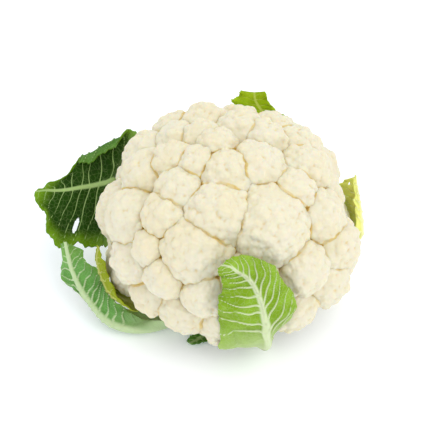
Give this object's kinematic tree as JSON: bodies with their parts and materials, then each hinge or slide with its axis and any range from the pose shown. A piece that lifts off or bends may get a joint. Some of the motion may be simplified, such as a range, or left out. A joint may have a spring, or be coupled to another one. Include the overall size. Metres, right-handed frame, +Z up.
{
  "type": "cauliflower",
  "caption": "Fresh cauliflower head with a domed cream curd, a cut stem it stands on and trimmed green wrapper leaves cupped round it.",
  "frame": {"origin": "centre of the stem's cut face, which the head stands on", "axes": "+Z up along the stem, -Y towards the front leaf, +X to the right as seen from the front"},
  "size_m": [0.2323, 0.2106, 0.1396],
  "materials": {
    "curd": "matt, fine-grained cream flesh that lets a little light in",
    "stem": "pale green flesh, moist at the cut",
    "front_leaf": "waxy green leaf, pale rib and veins",
    "left_leaf": "waxy green leaf, pale rib and veins",
    "lower_left_leaf": "waxy green leaf, pale rib and veins",
    "left_inner_leaf": "waxy green leaf, pale rib and veins",
    "under_leaf": "waxy green leaf, pale rib and veins",
    "back_leaf": "waxy green leaf, pale rib and veins",
    "right_leaf": "waxy green leaf, pale rib and veins"
  },
  "bodies": {
    "root": {"crown_floret_01": "curd", "crown_floret_02": "curd", "crown_floret_03": "curd", "crown_floret_04": "curd", "crown_floret_05": "curd", "crown_floret_06": "curd", "crown_floret_07": "curd", "shoulder_floret_01": "curd", "shoulder_floret_02": "curd", "shoulder_floret_03": "curd", "shoulder_floret_04": "curd", "shoulder_floret_05": "curd", "shoulder_floret_06": "curd", "shoulder_floret_07": "curd", "shoulder_floret_08": "curd", "shoulder_floret_09": "curd", "shoulder_floret_10": "curd", "shoulder_floret_11": "curd", "shoulder_floret_12": "curd", "shoulder_floret_13": "curd", "shoulder_floret_14": "curd", "shoulder_floret_15": "curd", "side_floret_01": "curd", "side_floret_02": "curd", "side_floret_03": "curd", "side_floret_04": "curd", "side_floret_05": "curd", "side_floret_06": "curd", "side_floret_07": "curd", "side_floret_08": "curd", "side_floret_09": "curd", "side_floret_10": "curd", "side_floret_11": "curd", "side_floret_12": "curd", "side_floret_13": "curd", "side_floret_14": "curd", "side_floret_15": "curd", "side_floret_16": "curd", "side_floret_17": "curd", "rim_floret_01": "curd", "rim_floret_02": "curd", "rim_floret_03": "curd", "rim_floret_04": "curd", "rim_floret_05": "curd", "rim_floret_06": "curd", "rim_floret_07": "curd", "rim_floret_08": "curd", "rim_floret_09": "curd", "rim_floret_10": "curd", "rim_floret_11": "curd", "rim_floret_12": "curd", "rim_floret_13": "curd", "stem": "stem", "front_leaf": "front_leaf", "left_leaf": "left_leaf", "lower_left_leaf": "lower_left_leaf", "left_inner_leaf": "left_inner_leaf", "under_leaf": "under_leaf", "back_leaf": "back_leaf", "right_leaf": "right_leaf"}
  },
  "joints": []
}
